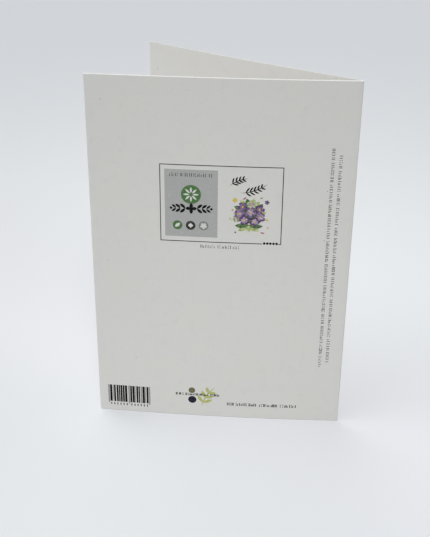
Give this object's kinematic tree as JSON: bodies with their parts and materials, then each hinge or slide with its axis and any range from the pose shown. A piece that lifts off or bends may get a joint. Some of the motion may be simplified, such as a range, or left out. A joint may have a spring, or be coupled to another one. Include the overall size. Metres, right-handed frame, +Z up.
{
  "type": "greeting card",
  "caption": "Folded greeting card of thick recycled board, standing half open as a V on its bottom edges, with a small printed panel on the back cover.",
  "frame": {"origin": "on the surface that the card stands on, under the middle of its box", "axes": "+Z up along the fold; the fold is at the +X end and the V opens towards -X; the back cover is on the -Y side and the front cover on the +Y side"},
  "size_m": [0.114, 0.0688, 0.171],
  "materials": {
    "card_board": "matte",
    "black_ink": "matte",
    "grey_ink": "matte",
    "dark_grey_ink": "matte",
    "green_ink": "matte",
    "leaf_green_ink": "matte",
    "purple_ink": "matte",
    "olive_ink": "matte",
    "navy_ink": "matte",
    "accent_ink": "matte"
  },
  "bodies": {
    "root": {"folded_card": "card_board"}
  },
  "joints": []
}
